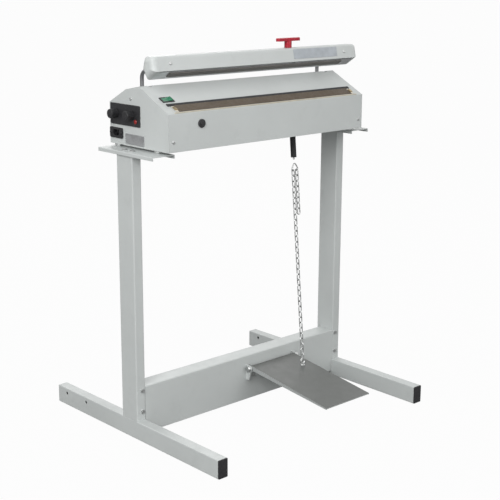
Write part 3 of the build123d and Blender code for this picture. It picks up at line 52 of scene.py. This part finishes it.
class Nodes:
    """Node tree of one material, with short calls for what the finishes share."""

    def __init__(self, name):
        self.material = bpy.data.materials.new(name)
        self.material.use_nodes = True
        self.tree = self.material.node_tree
        self.tree.nodes.clear()
        self.shader = self.tree.nodes.new("ShaderNodeBsdfPrincipled")
        output = self.tree.nodes.new("ShaderNodeOutputMaterial")
        self.tree.links.new(self.shader.outputs["BSDF"], output.inputs["Surface"])
        self.place = self.tree.nodes.new("ShaderNodeTexCoord").outputs["Object"]

    def link(self, source, target):
        self.tree.links.new(source, target)

    def stretch(self, scale):
        """Object coordinates scaled apart along the three axes."""
        node = self.tree.nodes.new("ShaderNodeMapping")
        node.inputs["Scale"].default_value = scale
        self.link(self.place, node.inputs["Vector"])
        return node.outputs["Vector"]

    def noise(self, size, detail=3.0, rough=0.55, vector=None):
        """Noise whose features are about size metres across."""
        node = self.tree.nodes.new("ShaderNodeTexNoise")
        node.inputs["Scale"].default_value = 1.0 / size
        node.inputs["Detail"].default_value = detail
        node.inputs["Roughness"].default_value = rough
        self.link(vector or self.place, node.inputs["Vector"])
        return node.outputs["Fac"]

    def bands(self, size, axis):
        node = self.tree.nodes.new("ShaderNodeTexWave")
        node.bands_direction = axis
        node.inputs["Scale"].default_value = 0.314 / size
        node.inputs["Distortion"].default_value = 0.4
        self.link(self.place, node.inputs["Vector"])
        return node.outputs["Fac"]

    def spread(self, value, low, high, to_low, to_high):
        node = self.tree.nodes.new("ShaderNodeMapRange")
        for key, number in zip(("From Min", "From Max", "To Min", "To Max"), (low, high, to_low, to_high)):
            node.inputs[key].default_value = number
        self.link(value, node.inputs["Value"])
        return node.outputs["Result"]

    def math(self, kind, first, second):
        node = self.tree.nodes.new("ShaderNodeMath")
        node.operation = kind
        for socket, value in zip(node.inputs, (first, second)):
            if isinstance(value, (int, float)):
                socket.default_value = value
            else:
                self.link(value, socket)
        return node.outputs["Value"]

    def blend(self, factor, first, second):
        """Colour mixed from two colours, each a tuple or a socket."""
        node = self.tree.nodes.new("ShaderNodeMix")
        node.data_type = "RGBA"
        self.link(factor, node.inputs[0])
        for socket, value in ((node.inputs[6], first), (node.inputs[7], second)):
            if isinstance(value, tuple):
                socket.default_value = (*value, 1.0)
            else:
                self.link(value, socket)
        return node.outputs[2]

    def soft_normal(self, radius):
        node = self.tree.nodes.new("ShaderNodeBevel")
        node.samples = 4
        node.inputs["Radius"].default_value = radius
        return node.outputs["Normal"]

    def edges(self, radius):
        """About 1 on a sharp edge and 0 on a flat."""
        geometry = self.tree.nodes.new("ShaderNodeNewGeometry")
        node = self.tree.nodes.new("ShaderNodeVectorMath")
        node.operation = "DOT_PRODUCT"
        self.link(self.soft_normal(radius), node.inputs[0])
        self.link(geometry.outputs["Normal"], node.inputs[1])
        return self.spread(node.outputs["Value"], 0.995, 0.80, 0.0, 1.0)

    def facing_up(self):
        """About 1 on faces that look up and 0 on the rest."""
        node = self.tree.nodes.new("ShaderNodeSeparateXYZ")
        coordinates = self.tree.nodes.new("ShaderNodeTexCoord")
        self.link(coordinates.outputs["Normal"], node.inputs["Vector"])
        return self.spread(node.outputs["Z"], 0.35, 0.75, 0.0, 1.0)

    def bump(self, layers, radius):
        """Bumps of (height, depth in metres) on top of softly rounded edges."""
        normal = self.soft_normal(radius)
        for height, depth in layers:
            node = self.tree.nodes.new("ShaderNodeBump")
            node.inputs["Strength"].default_value = 1.0
            node.inputs["Distance"].default_value = depth
            self.link(height, node.inputs["Height"])
            self.link(normal, node.inputs["Normal"])
            normal = node.outputs["Normal"]
        self.link(normal, self.shader.inputs["Normal"])

    def set(self, **values):
        for key, value in values.items():
            self.shader.inputs[key.replace("_", " ")].default_value = value


def shade(colour, factor):
    return tuple(min(1.0, c * factor) for c in colour)


def painted(name, colour, wear=0.35, dirt=0.25, top=None):
    """Powder-coated sheet: fine orange peel, handling marks, rubbed edges, and its own colour on faces
    that look up, if given.
    """
    n = Nodes(name)
    cloud = n.spread(n.noise(0.16, 4.0), 0.30, 0.70, 0.0, 1.0)
    base = n.blend(cloud, shade(colour, 0.965), shade(colour, 1.025))
    smudge = n.spread(n.noise(0.045, 6.0, 0.65), 0.56, 0.74, 0.0, dirt)
    base = n.blend(smudge, base, shade(colour, 0.80))
    speck = n.spread(n.noise(0.0016, 1.0), 0.72, 0.80, 0.0, 0.30)
    base = n.blend(speck, base, shade(colour, 0.72))
    if top:
        base = n.blend(n.facing_up(), base, top)
    rubbed = n.math("MULTIPLY", n.edges(0.0010), n.spread(n.noise(0.012, 5.0), 0.45, 0.62, 0.0, wear))
    base = n.blend(rubbed, base, shade(colour, 0.55))
    n.link(base, n.shader.inputs["Base Color"])
    n.link(n.spread(n.noise(0.03, 5.0), 0.3, 0.7, 0.36, 0.50), n.shader.inputs["Roughness"])
    n.bump([(n.noise(0.0022, 2.0), 0.00006), (n.noise(0.0006, 1.0), 0.00001)], 0.0009)
    n.set(Specular_IOR_Level=0.45)
    return n.material


def metal(name, colour, rough=0.32, grain=(1.0, 1.0, 1.0), tarnish=0.3, worn=0.6):
    """Metal with a drawn or plated grain, tarnish clouds and a dulled surface."""
    n = Nodes(name)
    drawn = n.noise(0.0035, 4.0, 0.6, n.stretch(grain))
    base = n.blend(n.spread(drawn, 0.3, 0.7, 0.0, 1.0), shade(colour, 0.86), shade(colour, 1.06))
    cloud = n.spread(n.noise(0.018, 5.0, 0.6), 0.50, 0.72, 0.0, tarnish)
    base = n.blend(cloud, base, shade(colour, worn))
    n.link(base, n.shader.inputs["Base Color"])
    roughness = n.spread(n.noise(0.008, 4.0), 0.3, 0.7, rough - 0.07, rough + 0.12)
    n.link(roughness, n.shader.inputs["Roughness"])
    n.bump([(drawn, 0.00003)], 0.0004)
    n.set(Metallic=1.0)
    return n.material


def plastic(name, colour, rough=0.45, grain=0.00004, coat=0.0):
    """Moulded plastic: spark-eroded grain, edges slightly polished and lightened as a painted highlight,
    dust in random patches.
    """
    n = Nodes(name)
    cloud = n.spread(n.noise(0.02, 4.0), 0.3, 0.7, 0.0, 1.0)
    base = n.blend(cloud, shade(colour, 0.88), shade(colour, 1.08))
    dust = n.spread(n.noise(0.004, 6.0, 0.7), 0.55, 0.80, 0.0, 0.16)
    base = n.blend(dust, base, tuple(0.35 + 0.5 * c for c in colour))
    # Edge mask: lowers the roughness as real polished wear, and lightens the colour as a painted
    # highlight.
    polish_and_painted_sheen = n.edges(0.0008)
    n.link(n.blend(n.math("MULTIPLY", polish_and_painted_sheen, 0.25), base, tuple(0.10 + 0.8 * c for c in colour)),
           n.shader.inputs["Base Color"])
    roughness = n.math("SUBTRACT", n.spread(n.noise(0.006, 4.0), 0.3, 0.7, rough - 0.05, rough + 0.10),
                       n.math("MULTIPLY", polish_and_painted_sheen, 0.12))
    n.link(roughness, n.shader.inputs["Roughness"])
    n.bump([(n.noise(0.0007, 2.0), grain)], 0.0005)
    n.set(Coat_Weight=coat, Coat_Roughness=0.12)
    return n.material


def rubber(name, colour):
    n = Nodes(name)
    bloom = n.spread(n.noise(0.010, 6.0, 0.7), 0.42, 0.75, 0.0, 0.35)
    n.link(n.blend(bloom, colour, tuple(0.06 + 1.2 * c for c in colour)), n.shader.inputs["Base Color"])
    n.link(n.spread(n.noise(0.005, 4.0), 0.3, 0.7, 0.62, 0.82), n.shader.inputs["Roughness"])
    n.bump([(n.noise(0.0009, 3.0), 0.00005)], 0.0005)
    n.set(Specular_IOR_Level=0.35)
    return n.material


def tape(name, colour):
    """Coated glass cloth: a fine plain weave, browned where the element has run hot."""
    n = Nodes(name)
    weave = n.math("MULTIPLY", n.bands(0.0011, "X"), n.bands(0.0011, "Y"))
    base = n.blend(weave, shade(colour, 0.78), shade(colour, 1.15))
    scorch = n.spread(n.noise(0.05, 5.0, 0.6), 0.48, 0.70, 0.0, 0.40)
    base = n.blend(scorch, base, shade(colour, 0.55))
    n.link(base, n.shader.inputs["Base Color"])
    n.link(n.spread(n.noise(0.012, 4.0), 0.3, 0.7, 0.48, 0.66), n.shader.inputs["Roughness"])
    n.bump([(n.noise(0.020, 2.0), 0.0004), (weave, 0.00006)], 0.0003)
    n.set(Specular_IOR_Level=0.35)
    return n.material


FINISHES = {
    "grey_paint": painted("finish_grey_paint", GREY),
    "pedal_paint": painted("finish_pedal_paint", shade(GREY, 0.72), 0.8, 0.6, PEDAL_GREY),
    "black_plastic": plastic("finish_black_plastic", (0.016, 0.016, 0.018)),
    "grey_plastic": plastic("finish_grey_plastic", shade(GREY, 1.03), 0.42),
    "cream_plastic": plastic("finish_cream_plastic", (0.60, 0.56, 0.46)),
    "crimson_plastic": plastic("finish_crimson_plastic", (0.42, 0.012, 0.030), 0.26, 0.00001, 0.4),
    "green_plastic": plastic("finish_green_plastic", (0.027, 0.205, 0.105), 0.25, 0.00001, 0.4),
    "red_plastic": plastic("finish_red_plastic", (0.26, 0.012, 0.010), 0.18, 0.00001, 0.6),
    "board_plastic": plastic("finish_board_plastic", (0.015, 0.10, 0.035)),
    "label_plastic": plastic("finish_label_plastic", (0.40, 0.43, 0.46), 0.34, 0.00001),
    "plate_aluminium": metal("finish_plate_aluminium", (0.66, 0.67, 0.68), 0.38, (0.08, 1.0, 1.0)),
    "zinc_steel": metal("finish_zinc_steel", ZINC, 0.34),
    "bright_steel": metal("finish_bright_steel", (0.64, 0.64, 0.65), 0.20, (1.0, 1.0, 0.1), 0.2),
    "dark_steel": metal("finish_dark_steel", (0.30, 0.30, 0.31), 0.30, (1.0, 1.0, 0.1), 0.3),
    "resistance_wire": metal("finish_resistance_wire", (0.36, 0.33, 0.30), 0.36, (0.05, 1.0, 1.0)),
    "aluminium": metal("finish_aluminium", (0.66, 0.67, 0.68), 0.36, (0.04, 1.0, 1.0), 0.2),
    "brass": metal("finish_brass", (0.46, 0.37, 0.23), 0.36, (1.0, 1.0, 1.0), 0.5),
    "core_iron": metal("finish_core_iron", (0.16, 0.15, 0.14), 0.50, (1.0, 8.0, 1.0), 0.6),
    "insulation": plastic("finish_insulation", (0.70, 0.66, 0.56), 0.6),
    "brown_tape": tape("finish_brown_tape", (0.112, 0.086, 0.060)),
    "silicone_rubber": rubber("finish_silicone_rubber", (0.16, 0.155, 0.145)),
    "dark_rubber": rubber("finish_dark_rubber", (0.022, 0.022, 0.024)),
}

for part in frame["record"]["subparts"]:
    node = NODES[part["node"]]
    for holder in node.material_slots:
        holder.material = FINISHES[part["material_slot"]]


# ---- stage ----
def stage_material(name, colour, glow):
    """Pale ground that shows near white to the camera and keeps the shadow."""
    material = bpy.data.materials.new(name)
    material.use_nodes = True
    tree = material.node_tree
    tree.nodes.clear()
    diffuse = tree.nodes.new("ShaderNodeBsdfDiffuse")
    diffuse.inputs["Color"].default_value = (*colour, 1.0)
    emission = tree.nodes.new("ShaderNodeEmission")
    emission.inputs["Color"].default_value = (1.0, 1.0, 1.0, 1.0)
    emission.inputs["Strength"].default_value = 1.0
    path = tree.nodes.new("ShaderNodeLightPath")
    share = tree.nodes.new("ShaderNodeMath")
    share.operation = "MULTIPLY"
    share.inputs[1].default_value = glow
    tree.links.new(path.outputs["Is Camera Ray"], share.inputs[0])
    mix = tree.nodes.new("ShaderNodeMixShader")
    tree.links.new(share.outputs["Value"], mix.inputs["Fac"])
    tree.links.new(diffuse.outputs["BSDF"], mix.inputs[1])
    tree.links.new(emission.outputs["Emission"], mix.inputs[2])
    output = tree.nodes.new("ShaderNodeOutputMaterial")
    tree.links.new(mix.outputs["Shader"], output.inputs["Surface"])
    return material


def make_floor():
    mesh = bpy.data.meshes.new("floor")
    signs = [(-1, -1), (1, -1), (1, 1), (-1, 1)]
    corners = [(x * FLOOR_REACH, y * FLOOR_REACH, 0.0) for x, y in signs]
    mesh.from_pydata(corners, [], [(0, 1, 2, 3)])
    floor = bpy.data.objects.new("floor", mesh)
    bpy.context.scene.collection.objects.link(floor)
    mesh.materials.append(stage_material("floor_ground", FLOOR_COLOUR, FLOOR_WHITE_SHARE))


def make_world():
    """Even pale surround: white to the camera and in reflections, softer as light."""
    world = bpy.data.worlds.new("studio")
    bpy.context.scene.world = world
    world.use_nodes = True
    tree = world.node_tree
    tree.nodes.clear()
    path = tree.nodes.new("ShaderNodeLightPath")
    seen = tree.nodes.new("ShaderNodeMath")
    seen.operation = "MAXIMUM"
    tree.links.new(path.outputs["Is Camera Ray"], seen.inputs[0])
    tree.links.new(path.outputs["Is Glossy Ray"], seen.inputs[1])
    strength = tree.nodes.new("ShaderNodeMapRange")
    strength.inputs["To Min"].default_value = WORLD_LEVEL
    strength.inputs["To Max"].default_value = 1.0
    tree.links.new(seen.outputs["Value"], strength.inputs["Value"])
    background = tree.nodes.new("ShaderNodeBackground")
    background.inputs["Color"].default_value = (1.0, 1.0, 1.0, 1.0)
    tree.links.new(strength.outputs["Result"], background.inputs["Strength"])
    output = tree.nodes.new("ShaderNodeOutputWorld")
    tree.links.new(background.outputs["Background"], output.inputs["Surface"])


def make_lamp(name, place, size, power):
    light = bpy.data.lights.new(name, "AREA")
    light.shape = "DISK"
    light.size = size
    light.energy = power
    lamp = bpy.data.objects.new(name, light)
    bpy.context.scene.collection.objects.link(lamp)
    lamp.location = place
    direction = [b - a for a, b in zip(place, LAMP_AIM)]
    flat = math.hypot(direction[0], direction[1])
    tilt = math.atan2(flat, -direction[2])
    turn = math.atan2(-direction[0], direction[1])
    lamp.rotation_euler = Euler((tilt, 0.0, turn))


def make_camera():
    data = bpy.data.cameras.new("camera")
    data.sensor_width = CAMERA_SENSOR
    data.lens = CAMERA_LENS
    data.clip_end = 500.0
    camera = bpy.data.objects.new("camera", data)
    bpy.context.scene.collection.objects.link(camera)
    camera.location = CAMERA_PLACE
    facing = Euler((math.radians(90.0 - CAMERA_PITCH), 0.0, math.radians(-CAMERA_YAW))).to_matrix()
    roll = Euler((0.0, 0.0, math.radians(CAMERA_ROLL))).to_matrix()
    camera.rotation_euler = (facing @ roll).to_euler()
    bpy.context.scene.camera = camera


make_floor()
make_world()
for name, place, size, power in LAMPS:
    make_lamp(name, place, size, power)
make_camera()
bpy.context.scene.view_settings.view_transform = "Standard"
